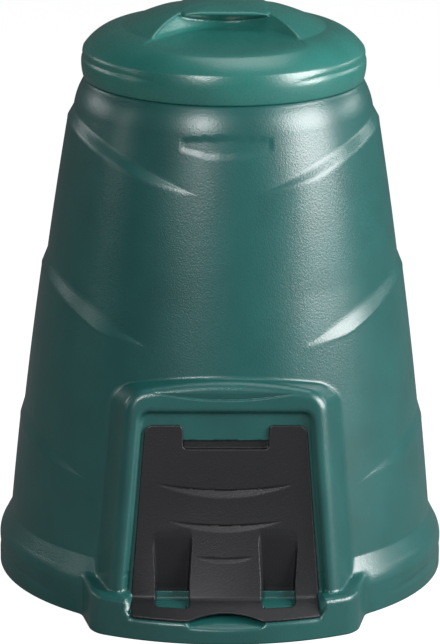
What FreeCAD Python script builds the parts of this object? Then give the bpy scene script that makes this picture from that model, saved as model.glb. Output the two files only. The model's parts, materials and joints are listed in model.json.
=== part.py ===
import FreeCAD, Part
import math
import os
import types

import Sketcher

# Compost bin with a lift-off lid and a lift-and-drop hatch.
# +Z is up, +X is to the right of someone who faces the hatch, and the hatch faces -Y. The forms are built about
# the bin's upright axis; last, each piece moves so that the origin is at the middle of the footprint.
# Each moulding is its outside form minus its inside form, as in a mould, so its wall follows its shape.

Vector = FreeCAD.Vector
doc = FreeCAD.newDocument("CompostBin")

sizes = [
    # walls and running gaps
    ("binWall", 3.5),
    ("lidWall", 3.2),
    ("hatchWall", 3.4),
    ("runningGap", 0.6),
    ("seatGap", 0.3),
    # base rim, cone, shoulder and neck of the bin, each from the one below it
    ("rimRadius", 350),
    ("rimEdgeHeight", 46),
    ("rimDraft", 7),
    ("rimShoulderRise", 21),
    ("rimLedge", 11.5),
    ("coneFootRise", 22),
    ("coneBulge", 6.4),
    ("coneTaper", 100),
    ("coneHeight", 649),
    ("shoulderWidth", 15),
    ("shoulderRise", 41),
    ("lidSeatRise", 4),
    ("neckClearance", 7.3),
    ("neckRise", 35),
    # leaning panel that carries the hatch, before the foot of the cone
    ("panelStandOff", 17),
    ("panelLean", 7.4),
    # hatch
    ("hatchFootHalf", 142),
    ("hatchShoulderHalf", 122.5),
    ("hatchTopNarrowing", 6.5),
    ("hatchTop", 317.5),
    ("hatchCornerDrop", 9.5),
    ("notchHalf", 64.5),
    ("tongueSetBack", 5),
    ("bowStart", 220),
    ("bowDepth", 20),
    ("bowFoot", 58),
    ("bowStation", 20),
    ("slabExtra", 12.5),
    ("channelMiddle", 80),
    ("channelWidth", 50),
    ("channelTop", 152),
    ("channelLip", 2.5),
    ("archHalf", 56),
    ("archDepth", 13),
    # recess and opening round the hatch, and the raised surround round the recess
    ("recessFootGap", 6.5),
    ("recessShoulderGap", 3),
    ("recessTopGap", 17),
    ("recessDraft", 25),
    ("recessCorner", 12),
    ("footOverlap", 14),
    ("shoulderOverlap", 15.5),
    ("topOverlap", 23.5),
    ("openingCorner", 10),
    ("notchOverlap", 13),
    ("tongueOverlap", 12),
    ("surroundProud", 12),
    ("surroundFoot", 45),
    ("surroundFootWidth", 24.5),
    ("surroundShoulderWidth", 23.5),
    ("surroundTopWidth", 33.5),
    ("surroundCrown", 20),
    ("surroundDraft", 18),
    ("surroundCorner", 30),
    ("surroundRound", 13),
    # sill, with the hatch's channels and flange and the toe measured from it and from the panel
    ("sillTop", 62.5),
    ("channelRampRise", 4.5),
    ("channelReachDown", 11),
    ("flangeRootStep", 13.5),
    ("flangeRootFall", 4),
    ("flangeWidth", 41.5),
    ("flangeFall", 22.5),
    ("flangeBulge", 3),
    ("flangeDrop", 5),
    ("flangeRootDrop", 8),
    ("toeEdge", 2.5),
    ("toeTopFall", 0.5),
    ("toeBow", 59),
    ("toeFlank", 29),
    ("toeSpread", 27.5),
    ("toeRootDepth", 135),
    ("toeCorner", 50),
    ("toeRound", 9),
    ("toeRecessGap", 4),
    ("fingerHalf", 58),
    ("fingerSill", 22),
    ("fingerDepth", 22),
    # bare badge place on the upper front
    ("plaqueHalf", 68),
    ("plaqueDrop", 1),
    ("plaqueHeight", 26),
    ("plaqueDepth", 1.5),
    # lid
    ("lidSkirtBulge", 3.4),
    ("lidBandFlare", 0.5),
    ("lidBandRise", 46),
    ("lidShoulderBulge", 8),
    ("domeInset", 60),
    ("domeEdgeRise", 33.5),
    ("domeBulge", 9.4),
    ("domeRise", 37.5),
    ("gateRadius", 9),
    ("pocketDepth", 32),
    ("pocketFloorTilt", 4),
    ("pocketHalf", 112),
    ("pocketSide", 110),
    ("pocketShoulderHalf", 46),
    ("pocketShoulder", 47.5),
    ("pocketBack", 31),
    ("pocketSideBulge", 3.2),
    ("pocketWallLean", 36),
    ("pocketOverreach", 13),
    ("gripEdge", 57),
    ("gripEdgeDrop", 10.5),
    ("gripHalf", 70),
    ("gripRoot", 25),
    ("gripRootDrop", 26),
]

# the three moulded ledges on each side: how far their height at the side is below the cone's top, how steeply the
# facet spreads and how far its cone stands off the bin's axis, how far the cone of the tier below it stands off the
# axis and how much smaller it is, and how far below the ledge that tier fades out
ledges = [
    ("crown", 1.6, 0.444, 24.7, 7.75, 1.55, 236.4),
    ("waist", 231, 0.335, 23.9, 10.9, 5.6, 252),
    ("foot", 476, 0.278, 23.7, 12.9, 8.8, 169),
]
ledgeParts = ("Drop", "Spread", "FacetShift", "TierShift", "TierShrink", "FadeLength")
for ledge in ledges:
    sizes += [(ledge[0] + part, value) for part, value in zip(ledgeParts, ledge[1:])]

# the scooped crescents, from the top: half width, height of the tips, how far the upper and the lower arc sag
# below them, how far the face there stands before the panel, how much that face leans, and the depth of the scoop
crescents = [
    ("crestScoop", 118, 382, 10, 20, 12, 0, 2),
    ("upperScoop", 105, 229, 10, 23, 4, 0, 1.8),
    ("middleScoop", 85, 172, 7, 18, 6.75, 5.2, 1.8),
    ("lowerScoop", 42, 116, 1.5, 8.5, 12.9, 9.4, 1.8),
]
crescentParts = ("Half", "Tips", "UpperSag", "LowerSag", "Face", "Lean", "Depth")
for crescent in crescents:
    sizes += [(crescent[0] + part, value) for part, value in zip(crescentParts, crescent[1:])]

sheet = doc.addObject("Spreadsheet::Sheet", "Sizes")


class Length:
    # a size that knows both its number and its formula on the sheet
    def __init__(self, value, formula):
        self.value = float(value)
        self.formula = formula

    def __add__(self, other):
        return joined(self, "+", other)

    def __radd__(self, other):
        return joined(other, "+", self)

    def __sub__(self, other):
        return joined(self, "-", other)

    def __rsub__(self, other):
        return joined(other, "-", self)

    def __mul__(self, other):
        return joined(self, "*", other)

    def __rmul__(self, other):
        return joined(other, "*", self)

    def __truediv__(self, other):
        return joined(self, "/", other)

    def __rtruediv__(self, other):
        return joined(other, "/", self)

    def __neg__(self):
        return joined(0, "-", self)


def asLength(item):
    if isinstance(item, Length):
        return item
    return Length(item, repr(float(item)))


def joined(first, sign, second):
    a = asLength(first)
    b = asLength(second)
    results = {"+": a.value + b.value, "-": a.value - b.value, "*": a.value * b.value}
    value = a.value / b.value if sign == "/" else results[sign]
    return Length(value, f"({a.formula} {sign} {b.formula})")


def root(item):
    return Length(math.sqrt(item.value), f"sqrt({item.formula})")


dim = types.SimpleNamespace()
for row, (name, value) in enumerate(sizes, start=1):
    sheet.set(f"A{row}", name)
    sheet.set(f"B{row}", str(value))
    sheet.setAlias(f"B{row}", name)
    setattr(dim, name, Length(value, f"Sizes.{name}"))
doc.recompute()

# radii and heights that follow from the sizes, from the ground upwards
dim.rimShoulderRadius = dim.rimRadius - dim.rimDraft
dim.coneFootRadius = dim.rimShoulderRadius - dim.rimLedge
dim.coneTopRadius = dim.coneFootRadius - dim.coneTaper
dim.shoulderRadius = dim.coneTopRadius - dim.shoulderWidth
dim.neckRadius = dim.shoulderRadius - dim.lidWall - dim.neckClearance
dim.rimShoulderHeight = dim.rimEdgeHeight + dim.rimShoulderRise
dim.coneFootHeight = dim.rimShoulderHeight + dim.coneFootRise
dim.coneTopHeight = dim.coneFootHeight + dim.coneHeight
dim.shoulderHeight = dim.coneTopHeight + dim.shoulderRise
dim.neckFootHeight = dim.shoulderHeight + dim.lidSeatRise
dim.neckTopHeight = dim.neckFootHeight + dim.neckRise

# the hatch, the opening that it closes, and the recess and the surround round it
dim.panelDistance = dim.coneFootRadius + dim.panelStandOff
dim.hatchTopHalf = dim.hatchShoulderHalf - dim.hatchTopNarrowing
dim.hatchShoulder = dim.hatchTop - dim.hatchCornerDrop
dim.recessFootHalf = dim.hatchFootHalf + dim.recessFootGap
dim.recessTopHalf = dim.hatchShoulderHalf + dim.recessShoulderGap
dim.recessTop = dim.hatchTop + dim.recessTopGap
dim.openingFootHalf = dim.hatchFootHalf - dim.footOverlap
dim.openingTopHalf = dim.hatchShoulderHalf - dim.shoulderOverlap
dim.openingTop = dim.hatchTop - dim.topOverlap
dim.notchFoot = dim.openingTop - dim.notchOverlap
dim.tongueTop = dim.openingTop + dim.tongueOverlap
dim.surroundFootHalf = dim.recessFootHalf + dim.surroundFootWidth
dim.surroundShoulderHalf = dim.recessTopHalf + dim.surroundShoulderWidth
dim.surroundShoulder = dim.recessTop + dim.surroundTopWidth

# the hatch's foot and the toe that it lies on
dim.channelRampFoot = dim.sillTop + dim.channelRampRise
dim.channelFoot = dim.sillTop - dim.channelReachDown
dim.flangeRootReach = dim.panelDistance + dim.flangeRootStep
dim.flangeRootHeight = dim.sillTop - dim.flangeRootFall
dim.flangeReach = dim.flangeRootReach + dim.flangeWidth
dim.flangeFoot = dim.flangeRootHeight - dim.flangeFall
dim.toeReach = dim.flangeReach + dim.toeEdge
dim.toeHeight = dim.sillTop - dim.toeTopFall
dim.toeCornerReach = dim.toeReach - dim.toeBow
dim.toeCornerHalf = dim.surroundFootHalf + dim.toeFlank
dim.toeRootHalf = dim.toeCornerHalf + dim.toeSpread
dim.toeRootReach = dim.rimRadius - dim.toeRootDepth
dim.toeRecessHalf = dim.hatchFootHalf + dim.toeRecessGap

# the badge's place and the lid, which is flush with the bin's shoulder
dim.plaqueTop = dim.coneTopHeight - dim.plaqueDrop
dim.plaqueFoot = dim.plaqueTop - dim.plaqueHeight
dim.lidSkirtRadius = dim.shoulderRadius
dim.lidBandRadius = dim.lidSkirtRadius + dim.lidBandFlare
dim.lidBandHeight = dim.neckFootHeight + dim.lidBandRise
dim.domeRadius = dim.lidBandRadius - dim.domeInset
dim.domeEdgeHeight = dim.lidBandHeight + dim.domeEdgeRise
dim.lidTop = dim.domeEdgeHeight + dim.domeRise
dim.pocketFloor = dim.lidTop - dim.pocketDepth
dim.gripEdgeHeight = dim.lidTop - dim.gripEdgeDrop
dim.gripRootHeight = dim.lidTop - dim.gripRootDrop


def bind(thing, prop, amount):
    # a property follows its formula on the sheet
    amount = asLength(amount)
    thing.setExpression(prop, amount.formula)


def place(thing, x=0, y=0, z=0, axis=None, angle=0):
    # a placement that follows the sheet
    turn = Vector(0, 0, 1) if axis is None else axis
    thing.Placement = FreeCAD.Placement(
        Vector(asLength(x).value, asLength(y).value, asLength(z).value),
        FreeCAD.Rotation(turn, asLength(angle).value))
    for letter, amount in (("x", x), ("y", y), ("z", z)):
        if isinstance(amount, Length):
            bind(thing, f"Placement.Base.{letter}", amount)
    if isinstance(angle, Length):
        bind(thing, "Placement.Rotation.Angle", angle)
    return thing


def leaning(thing):
    # from upright, with its panel face on the XZ plane, to the hatch panel's place on the cone
    return place(thing, y=-dim.panelDistance, axis=Vector(1, 0, 0), angle=-dim.panelLean)


def newBody(name):
    return doc.addObject("PartDesign::Body", name)


def newSketch(body, name, role, offset=0, tilt=0):
    # a sketch on one of the body's planes, moved along the plane's normal and tilted about its x axis
    planes = [feature for feature in body.Origin.OriginFeatures if feature.Role == role]
    sketch = body.newObject("Sketcher::SketchObject", name)
    sketch.AttachmentSupport = (planes[0], [""])
    sketch.MapMode = "FlatFace"
    sketch.AttachmentOffset = FreeCAD.Placement(
        Vector(0, 0, asLength(offset).value),
        FreeCAD.Rotation(Vector(1, 0, 0), asLength(tilt).value))
    if isinstance(offset, Length):
        bind(sketch, "AttachmentOffset.Base.z", offset)
    if isinstance(tilt, Length):
        bind(sketch, "AttachmentOffset.Rotation.Angle", tilt)
    return sketch


def outline(sketch, corners):
    # a closed outline of lines and arcs: (x, y), or (x, y, bulge) where an arc runs on to the next corner,
    # with its bulge to the right of the way there
    count = len(corners)
    starts = []
    radii = []
    for index, corner in enumerate(corners):
        following = corners[(index + 1) % count]
        x1, y1 = asLength(corner[0]), asLength(corner[1])
        x2, y2 = asLength(following[0]), asLength(following[1])
        first = Vector(x1.value, y1.value, 0)
        last = Vector(x2.value, y2.value, 0)
        if len(corner) == 2:
            sketch.addGeometry(Part.LineSegment(first, last), False)
            starts.append((index, 1, 2))
            continue
        bulge = asLength(corner[2])
        along = last - first
        aside = Vector(along.y, -along.x, 0).normalize()
        middle = (first + last) * 0.5 + aside * bulge.value
        arc = Part.ArcOfCircle(first, middle, last)
        circle = Part.Circle(arc.Center, Vector(0, 0, 1), arc.Radius)
        angles = [math.atan2(p.y - arc.Center.y, p.x - arc.Center.x) for p in (first, last)]
        forwards = bulge.value > 0
        if not forwards:
            angles.reverse()
        if angles[1] < angles[0]:
            angles[1] += 2 * math.pi
        sketch.addGeometry(Part.ArcOfCircle(circle, angles[0], angles[1]), False)
        starts.append((index, 1, 2) if forwards else (index, 2, 1))
        chord = (x2 - x1) * (x2 - x1) + (y2 - y1) * (y2 - y1)
        size = (chord / 4 + bulge * bulge) / (2 * bulge)
        radii.append((index, size if forwards else -size))
    for index in range(count):
        here = starts[index]
        following = starts[(index + 1) % count]
        sketch.addConstraint(Sketcher.Constraint("Coincident", here[0], here[2], following[0], following[1]))
    for index, corner in enumerate(corners):
        for kind, amount in (("DistanceX", corner[0]), ("DistanceY", corner[1])):
            amount = asLength(amount)
            number = sketch.addConstraint(
                Sketcher.Constraint(kind, -1, 1, starts[index][0], starts[index][1], amount.value))
            bind(sketch, f"Constraints[{number}]", amount)
    for index, size in radii:
        number = sketch.addConstraint(Sketcher.Constraint("Radius", index, size.value))
        bind(sketch, f"Constraints[{number}]", size)
    return sketch


def revolved(name, corners):
    # a turned form about the bin's axis, from (radius, height) corners
    body = newBody(name)
    sketch = outline(newSketch(body, f"{name}Profile", "YZ_Plane"), corners)
    turn = body.newObject("PartDesign::Revolution", f"{name}Turn")
    turn.Profile = sketch
    turn.ReferenceAxis = (sketch, ["V_Axis"])
    turn.Angle = 360
    return body


def padded(name, role, corners, length, offset=0, tilt=0, taper=0, backwards=False, both=False):
    # a padded outline; its taper widens it away from the sketch
    body = newBody(name)
    sketch = outline(newSketch(body, f"{name}Outline", role, offset, tilt), corners)
    pad = body.newObject("PartDesign::Pad", f"{name}Pad")
    pad.Profile = sketch
    bind(pad, "Length", length)
    pad.Reversed = backwards
    pad.Midplane = both
    if isinstance(taper, Length) or taper:
        bind(pad, "TaperAngle", taper)
    return body


def rounded(body, radius, chosen):
    # rounds the edges that chosen(edge) names on the body's last feature
    doc.recompute()
    base = body.Tip
    names = [f"Edge{n}" for n, edge in enumerate(base.Shape.Edges, start=1) if chosen(edge)]
    fillet = body.newObject("PartDesign::Fillet", f"{body.Name}Round{len(body.Group)}")
    fillet.Base = (base, names)
    bind(fillet, "Radius", radius)
    return body


def lofted(name, sections, ruled=True):
    # a lofted form through outlines at several heights: (height, corners)
    body = newBody(name)
    sketches = []
    for number, (height, corners) in enumerate(sections):
        sketches.append(outline(newSketch(body, f"{name}Section{number}", "XY_Plane", height), corners))
    loft = body.newObject("PartDesign::AdditiveLoft", f"{name}Loft")
    loft.Profile = sketches[0]
    loft.Sections = sketches[1:]
    loft.Ruled = ruled
    return body


def joinedForms(name, pieces):
    fusion = doc.addObject("Part::MultiFuse", name)
    fusion.Shapes = pieces
    return fusion


def cutForm(name, base, tool):
    cut = doc.addObject("Part::Cut", name)
    cut.Base = base
    cut.Tool = tool
    return cut


def commonForm(name, base, tool):
    common = doc.addObject("Part::Common", name)
    common.Base = base
    common.Tool = tool
    return common


def mirroredForm(name, source, normal):
    mirror = doc.addObject("Part::Mirroring", name)
    mirror.Source = source
    mirror.Base = Vector(0, 0, 0)
    mirror.Normal = normal
    return mirror


def coneRadius(height):
    # the bin's radius at a height on the cone: a straight taper with a slight barrel
    share = (height - dim.coneFootHeight) / (dim.coneTopHeight - dim.coneFootHeight)
    straight = dim.coneFootRadius + (dim.coneTopRadius - dim.coneFootRadius) * share
    return straight + 4 * dim.coneBulge * share * (1 - share)


def binTurned(name, inset, overrun):
    # the round part of the bin: rim, cone, shoulder and neck
    return revolved(name, [
        (0, -overrun),
        (dim.rimRadius - inset, -overrun),
        (dim.rimRadius - inset, dim.rimEdgeHeight, 1.4),
        (dim.rimShoulderRadius - inset, dim.rimShoulderHeight),
        (dim.coneFootRadius - inset, dim.coneFootHeight, dim.coneBulge),
        (dim.coneTopRadius - inset, dim.coneTopHeight, 2.2),
        (dim.shoulderRadius - inset, dim.shoulderHeight - inset / 2),
        (dim.shoulderRadius - 2 - inset, dim.neckFootHeight - inset),
        (dim.neckRadius - inset, dim.neckFootHeight - inset),
        (dim.neckRadius - inset, dim.neckTopHeight + overrun),
        (0, dim.neckTopHeight + overrun)])


def standingCone(name, foot, top, footRadius, topRadius, shift=0):
    # a cone with its axis upright beside the bin's axis
    cone = doc.addObject("Part::Cone", name)
    bind(cone, "Radius1", footRadius)
    bind(cone, "Radius2", topRadius)
    bind(cone, "Height", top - foot)
    return place(cone, x=shift, z=foot, angle=180)


ledgeOverlap = 8
fadeDepth = 0.8


def ledgeTiers(name, inset):
    # on each side, each ledge's facet with the tier below it, which fades towards the front and the back
    tiers = []
    for ledge in ledges:
        drop, spread, facetShift, tierShift, tierShrink, fadeLength = [
            getattr(dim, ledge[0] + part) for part in ledgeParts]
        side = dim.coneTopHeight - drop
        fade = side - fadeLength
        label = f"{name}{ledge[0].title()}"
        # both cones end inside the bin's own form: a little past the ledge, and just below the surface at the fade
        top = side + ledgeOverlap
        tier = standingCone(f"{label}Tier", fade, top, coneRadius(fade) - tierShift - fadeDepth - inset,
                            coneRadius(top) - tierShrink - inset, tierShift)
        facetRadius = coneRadius(side) - facetShift - inset
        facet = standingCone(f"{label}Facet", fade, top, facetRadius + spread * (side - fade),
                             facetRadius - spread * ledgeOverlap, facetShift)
        ledgeForm = commonForm(f"{label}Ledge", tier, facet)
        tiers.append(ledgeForm)
        tiers.append(mirroredForm(f"{label}LedgeMirror", ledgeForm, Vector(1, 0, 0)))
    return tiers


def trapezium(footHalf, foot, topHalf, top, crown=0):
    # upright outline with level foot; its top may be an arc that rises in the middle by the crown
    corners = [(-footHalf, foot), (footHalf, foot), (topHalf, top), (-topHalf, top)]
    if isinstance(crown, Length) or crown:
        corners[2] = (topHalf, top, crown)
    return corners


def alongSides(edge):
    # an edge that climbs from the sketch plane of an upright pad: one of its drafted corners
    box = edge.BoundBox
    return box.YLength > 5 and box.ZLength < box.YLength * 2


def surroundForm(name, inset):
    # the raised surround: a drafted block on the cone with a rounded rim and a flat recess for the hatch
    proud = dim.surroundProud - inset
    block = padded(
        f"{name}Block", "XZ_Plane",
        trapezium(dim.surroundFootHalf - inset, dim.surroundFoot, dim.surroundShoulderHalf - inset,
                  dim.surroundShoulder - inset, dim.surroundCrown),
        length=120, offset=proud, taper=dim.surroundDraft, backwards=True)
    rounded(block, dim.surroundCorner - inset, alongSides)
    front = -proud.value
    rounded(block, dim.surroundRound - inset,
            lambda edge: edge.BoundBox.YLength < 0.1 and abs(edge.BoundBox.YMin - front) < 0.1)
    # the recess reaches below the block's foot, over the toe
    slope = (dim.recessFootHalf - dim.recessTopHalf) / (dim.recessTop - dim.sillTop)
    recessFoot = dim.surroundFoot - 60
    recess = padded(
        f"{name}Recess", "XZ_Plane",
        trapezium(dim.recessFootHalf + inset + slope * (dim.sillTop - recessFoot), recessFoot,
                  dim.recessTopHalf + inset, dim.recessTop + inset),
        length=40, offset=-inset, taper=dim.recessDraft)
    rounded(recess, dim.recessCorner + inset, alongSides)
    return leaning(cutForm(f"{name}Upright", block, recess))


def toeForm(name, inset, overrun):
    # the toe in front of the rim, with round corners and a rounded top edge
    corner = dim.toeCornerReach - inset
    toe = padded(
        name, "XY_Plane",
        [(-dim.toeRootHalf + inset, -dim.toeRootReach),
         (-dim.toeCornerHalf + inset, -corner, dim.toeReach - dim.toeCornerReach),
         (dim.toeCornerHalf - inset, -corner),
         (dim.toeRootHalf - inset, -dim.toeRootReach)],
        length=dim.toeHeight - inset + overrun, offset=-asLength(overrun))
    rounded(toe, dim.toeCorner - inset,
            lambda edge: edge.BoundBox.ZLength > 50 and abs(edge.BoundBox.YMin + corner.value) < 3)
    top = (dim.toeHeight - inset).value
    return rounded(toe, dim.toeRound - inset,
                   lambda edge: edge.BoundBox.ZMin > top - 0.1 and edge.BoundBox.YMin < -dim.toeRootReach.value - 1)


def flangeSeat(name, inset):
    # the hollow in the toe's top that takes the hatch's flange: open at the front, with the panel behind it
    drop = dim.flangeDrop + inset
    rootDrop = dim.flangeRootDrop + inset
    far = 14
    fall = (dim.flangeRootHeight - dim.flangeFoot) / (dim.flangeReach - dim.flangeRootReach)
    ring = revolved(f"{name}Ring", [
        (300, dim.flangeRootHeight - rootDrop),
        (dim.flangeRootReach, dim.flangeRootHeight - rootDrop, -dim.flangeBulge),
        (dim.flangeReach, dim.flangeFoot - drop),
        (dim.flangeReach + far, dim.flangeFoot - drop - fall * far),
        (dim.flangeReach + far, 90),
        (300, 90)])
    front = leaning(padded(
        f"{name}Front", "XZ_Plane",
        trapezium(dim.toeRecessHalf + inset, 0, dim.toeRecessHalf + inset, 90),
        length=80, offset=-inset))
    return commonForm(f"{name}Hollow", ring, front)


def fingerNotch(name, inset):
    # the notch under the hatch's arch, where fingers reach below the flange
    drop = inset * 1.414
    reach = 14
    return padded(
        f"{name}Notch", "YZ_Plane",
        [(-dim.toeReach - reach, dim.fingerSill - reach - drop),
         (-dim.toeReach + dim.fingerDepth, dim.fingerSill + dim.fingerDepth - drop),
         (-dim.toeReach - reach, dim.fingerSill + dim.fingerDepth - drop)],
        length=2 * (dim.fingerHalf + inset), both=True)


def binForm(name, inset, overrun):
    # the bin's whole outside, or at an inset the whole inside of its wall
    inset = asLength(inset)
    whole = joinedForms(f"{name}Raised", [
        binTurned(f"{name}Turned", inset, overrun), *ledgeTiers(name, inset),
        surroundForm(f"{name}Surround", inset), toeForm(f"{name}Toe", inset, overrun)])
    seat = joinedForms(f"{name}Seat", [flangeSeat(name, inset), fingerNotch(name, inset)])
    return cutForm(f"{name}Form", whole, seat)


def scoopTool(name):
    # a crescent: a shallow cone whose rim is the lower arc, less a cylinder whose rim is the upper arc
    half, tips, upperSag, lowerSag, face, lean, depth = [getattr(dim, name + p) for p in crescentParts]
    out = 2
    fall = (lowerSag - upperSag) / depth
    rimRadius = (half * half + lowerSag * lowerSag) / (2 * lowerSag)
    coreRadius = (half * half + upperSag * upperSag) / (2 * upperSag)
    cone = doc.addObject("Part::Cone", f"{name}Cone")
    bind(cone, "Radius1", rimRadius - fall * depth)
    bind(cone, "Radius2", rimRadius + fall * out)
    bind(cone, "Height", depth + out)
    core = doc.addObject("Part::Cylinder", f"{name}Core")
    bind(core, "Radius", coreRadius)
    bind(core, "Height", asLength(20))
    turned = 90 - lean.value
    rise = math.sin(math.radians(lean.value))
    level = math.cos(math.radians(lean.value))
    for form, radius, back, sag in ((cone, rimRadius, depth, lowerSag), (core, coreRadius, asLength(10), upperSag)):
        place(form, y=back * level - face + radius * rise,
              z=tips - sag + radius * level - back * rise, axis=Vector(1, 0, 0), angle=turned)
    return cutForm(f"{name}Tool", cone, core)


def plaqueTool(name, depth):
    # the bare place for a badge: level top, round foot, and a floor that follows the cone
    half = dim.plaqueHalf
    front = padded(
        f"{name}Outline", "XZ_Plane",
        [(-half, dim.plaqueFoot), (half, dim.plaqueFoot), (half, dim.plaqueTop, 3), (-half, dim.plaqueTop)],
        length=80, offset=asLength(200))
    return cutForm(name, front, binTurned(f"{name}Floor", asLength(depth), 10))


doorway = leaning(rounded(
    padded("doorway", "XZ_Plane",
           trapezium(dim.openingFootHalf, dim.sillTop, dim.openingTopHalf, dim.openingTop),
           length=60, both=True),
    dim.openingCorner, lambda edge: edge.BoundBox.YLength > 50 and edge.BoundBox.ZMin > 100))
binShell = cutForm("binShell", binForm("binOuter", 0, 0), binForm("binInner", dim.binWall, 10))
marks = joinedForms("bodyMarks", [doorway, leaning(scoopTool("crestScoop")), plaqueTool("plaque", dim.plaqueDepth)])
binBody = cutForm("binBody", binShell, marks)


def hatchSlab(name, inset, foot, back):
    # the hatch's plate as a solid from its face backwards, with its lower part bowed forward
    face = dim.runningGap + dim.hatchWall - inset
    half = dim.hatchFootHalf + 6
    sections = []
    stations = [dim.bowStart + dim.bowStation * step for step in (-6.75, -5, -3, -1, 1)]
    for height in (asLength(foot), *stations, dim.hatchTop + dim.slabExtra):
        share = (dim.bowStart - height) / (dim.bowStart - dim.bowFoot)
        bow = dim.bowDepth * (share * share if share.value > 0.1 else 0.01)
        sections.append((height, [(-half, -face, bow), (half, -face), (half, back), (-half, back)]))
    return lofted(f"{name}Slab", sections, ruled=False)


def channelTool(name, inset, middle):
    # one finger channel: its floor ramps from the plate's face to behind the sill
    face = -(dim.runningGap + dim.hatchWall + dim.channelLip) + inset
    floor = dim.tongueSetBack + inset
    foot = dim.channelFoot - dim.seatGap
    return place(padded(
        name, "YZ_Plane",
        [(floor, foot), (floor, dim.channelRampFoot), (face, dim.channelTop), (-70, dim.channelTop + 20), (-70, foot)],
        length=dim.channelWidth + 2 * inset, both=True), x=middle)


def notchTool(name, inset):
    # the set-back middle of the hatch's top edge, which goes behind the bin's wall
    return padded(
        f"{name}Notch", "XZ_Plane",
        trapezium(dim.notchHalf + inset, dim.notchFoot - inset,
                  dim.notchHalf + inset, dim.hatchTop + 2 * dim.slabExtra),
        length=60, offset=-(dim.tongueSetBack + inset))


def flangeRing(name, inset, foot):
    # the turned foot of the hatch, which lies on the toe
    drop = inset * 1.14
    overrun = inset * 3
    fall = (dim.flangeRootHeight - dim.flangeFoot) / (dim.flangeReach - dim.flangeRootReach)
    return revolved(f"{name}Ring", [
        (320, foot),
        (dim.flangeReach + overrun, foot),
        (dim.flangeReach + overrun, dim.flangeFoot - drop - fall * overrun, dim.flangeBulge),
        (dim.flangeRootReach, dim.flangeRootHeight - drop),
        (320, dim.flangeRootHeight - drop)])


def hatchForm(name, inset, overrun):
    # the hatch's outside, or at an inset its inside, which is open at the back and below the flange
    inset = asLength(inset)
    outside = padded(
        f"{name}Outside", "XZ_Plane",
        [(-dim.hatchFootHalf - overrun, dim.channelFoot),
         (-dim.hatchFootHalf - overrun, 0),
         (dim.hatchFootHalf + overrun, 0),
         (dim.hatchFootHalf + overrun, dim.channelFoot),
         (dim.hatchShoulderHalf + overrun, dim.hatchShoulder),
         (dim.hatchTopHalf + overrun, dim.hatchTop + overrun),
         (dim.notchHalf, dim.hatchTop + overrun),
         (dim.notchHalf, dim.tongueTop + overrun),
         (-dim.notchHalf, dim.tongueTop + overrun),
         (-dim.notchHalf, dim.hatchTop + overrun),
         (-dim.hatchTopHalf - overrun, dim.hatchTop + overrun),
         (-dim.hatchShoulderHalf - overrun, dim.hatchShoulder)],
        length=200, both=True)
    plate = leaning(commonForm(
        f"{name}Plate", hatchSlab(name, inset, dim.channelFoot - overrun, 15 + overrun), outside))
    half = dim.hatchFootHalf + overrun
    flange = commonForm(
        f"{name}Flange", flangeRing(name, inset, 20 - overrun),
        padded(f"{name}Width", "XZ_Plane", trapezium(half, 0, half, 90),
               length=100, offset=dim.panelDistance - 14 - overrun))
    tools = leaning(joinedForms(f"{name}Tools", [
        channelTool(f"{name}Left", inset, -dim.channelMiddle),
        channelTool(f"{name}Right", inset, dim.channelMiddle),
        notchTool(name, inset)]))
    return cutForm(f"{name}Form", joinedForms(f"{name}Solid", [plate, flange]), tools)


def wallSlot(name, half, foot, top):
    # the slot in which the bin's wall stands, between the hatch's front and its parts behind the wall
    return padded(name, "XZ_Plane", trapezium(half, foot, half, top),
                  length=dim.tongueSetBack + dim.runningGap / 2,
                  offset=-dim.tongueSetBack + dim.runningGap / 2)


hatchShell = cutForm("hatchShell", hatchForm("hatchOuter", 0, 0), hatchForm("hatchInner", dim.hatchWall, 10))
hatchSlots = leaning(joinedForms("hatchSlots", [
    wallSlot("sillSlot", asLength(150), asLength(0), dim.sillTop + dim.seatGap),
    wallSlot("lintelSlot", dim.notchHalf + 20, dim.notchFoot + dim.seatGap, dim.hatchTop + 2 * dim.slabExtra)]))
archRise = root(dim.flangeReach * dim.flangeReach - dim.archHalf * dim.archHalf) - (dim.flangeReach - dim.archDepth)
archRadius = (dim.archHalf * dim.archHalf + archRise * archRise) / (2 * archRise)
arch = place(doc.addObject("Part::Cylinder", "arch"), y=-(dim.flangeReach - dim.archDepth + archRadius))
bind(arch, "Radius", archRadius)
bind(arch, "Height", asLength(90))
hatchScoops = leaning(joinedForms("hatchScoops", [
    scoopTool("upperScoop"), scoopTool("middleScoop"), scoopTool("lowerScoop")]))
hatch = cutForm("hatch", hatchShell, joinedForms("hatchCuts", [hatchSlots, arch, hatchScoops]))


def pocketTool(name, inset, overrun):
    # the finger pocket in front of the grip: a sloping floor, and walls that lean back from it
    side = dim.pocketSide - inset
    half = dim.pocketHalf + inset
    front = -(dim.lidBandRadius + dim.pocketOverreach)
    return place(padded(
        f"{name}Pocket", "XY_Plane",
        [(half, -side, dim.pocketSideBulge),
         (dim.pocketShoulderHalf + inset / 2, -dim.pocketShoulder + inset, dim.pocketShoulder - dim.pocketBack),
         (-dim.pocketShoulderHalf - inset / 2, -dim.pocketShoulder + inset, dim.pocketSideBulge),
         (-half, -side),
         (-half, front),
         (half, front)],
        length=60 + asLength(overrun), taper=dim.pocketWallLean),
        z=dim.pocketFloor - inset, axis=Vector(1, 0, 0), angle=dim.pocketFloorTilt)


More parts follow.
